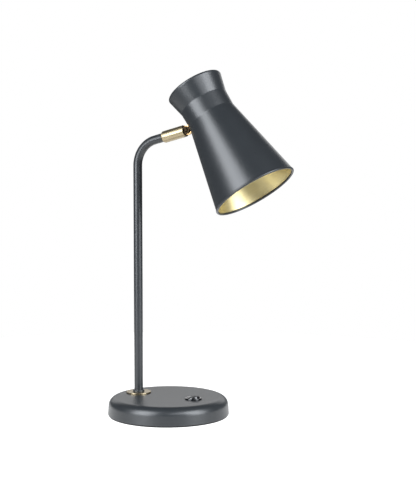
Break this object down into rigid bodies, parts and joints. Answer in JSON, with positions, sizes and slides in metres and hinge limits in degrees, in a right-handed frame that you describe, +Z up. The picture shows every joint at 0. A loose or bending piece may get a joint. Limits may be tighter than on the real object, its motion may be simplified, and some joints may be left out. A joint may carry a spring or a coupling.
{
  "type": "desk lamp",
  "caption": "Desk lamp with a round weighted base, a bent tube stem, a brass swivel and a waisted metal shade that tilts and turns.",
  "frame": {"origin": "centre of the underside of the base, on the desk", "axes": "+Z up the stem, +X the way the arm points at rest, +Y across; the rest pose is symmetric about the XZ plane apart from screw heads and nuts"},
  "size_m": [0.2641, 0.164, 0.4619],
  "materials": {
    "charcoal_paint": "satin powder coat, dark charcoal grey",
    "black_paint": "satin black lacquer",
    "satin_brass": "satin brushed, lacquered",
    "contact_brass": "bare turned or stamped brass",
    "bronzed_brass": "chemically darkened brass",
    "zinc_steel": "zinc plated",
    "cast_iron": "rough as cast",
    "pad_rubber": "matt black",
    "black_gloss": "glossy moulded black",
    "black_phenolic": "moulded phenolic",
    "white_nylon": "natural nylon",
    "black_nylon": "nylon filled with graphite",
    "lead_sleeve": "silicone sleeving",
    "cap_aluminium": "rolled screw cap",
    "bulb_white": "white moulded",
    "opal_diffuser": "opal polycarbonate"
  },
  "bodies": {
    "root": {"base_cover": "charcoal_paint", "base_weight": "cast_iron", "base_plate": "zinc_steel", "base_pad": "pad_rubber", "cover_posts": "zinc_steel", "plate_screws": "zinc_steel", "cord_gland": "pad_rubber", "terminal_block": "white_nylon", "terminal_tubes": "contact_brass", "terminal_screws": "zinc_steel", "block_screw": "zinc_steel", "switch_leads": "lead_sleeve", "switch_housing": "black_gloss", "switch_terminals": "contact_brass", "switch_bridge": "contact_brass", "stem": "charcoal_paint", "stem_washer": "satin_brass", "stem_collar": "black_paint", "stem_nipple": "contact_brass", "stem_lock_washer": "zinc_steel", "stem_nut": "zinc_steel", "stem_leads": "lead_sleeve", "swivel_spigot": "contact_brass", "swivel_spring_washer": "zinc_steel"},
    "rocker": {"switch_rocker": "black_gloss", "switch_plunger": "white_nylon"},
    "swivel": {"swivel_barrel": "satin_brass", "swivel_knuckle": "bronzed_brass", "pivot_screw": "bronzed_brass", "pivot_nut": "bronzed_brass", "friction_washers": "black_nylon"},
    "head": {"shade_tongue": "satin_brass", "tongue_nut": "zinc_steel", "shade": "charcoal_paint", "holder_bracket": "zinc_steel", "holder_nipple": "contact_brass", "holder_nut": "zinc_steel", "lampholder": "black_phenolic", "holder_thread": "contact_brass", "holder_contact": "contact_brass", "holder_leads": "lead_sleeve", "bulb_contact": "cap_aluminium", "bulb_insulator": "black_gloss", "bulb_cap": "cap_aluminium", "bulb_body": "bulb_white", "led_board": "bulb_white", "bulb_globe": "opal_diffuser"}
  },
  "joints": [
    {"name": "head_swivel", "type": "hinge", "parent": "root", "child": "swivel", "pos_m": [0.03115, 0, 0.38435], "axis": [0.9703, 0, 0.2419], "range_deg": [-170, 170]},
    {"name": "head_tilt", "type": "hinge", "parent": "swivel", "child": "head", "pos_m": [0.03115, 0, 0.38435], "axis": [0, 1, 0], "range_deg": [-45, 50]},
    {"name": "switch_rock", "type": "hinge", "parent": "root", "child": "rocker", "pos_m": [0.0394, 0, 0.0254], "axis": [0, 1, 0], "range_deg": [0, 16]}
  ]
}
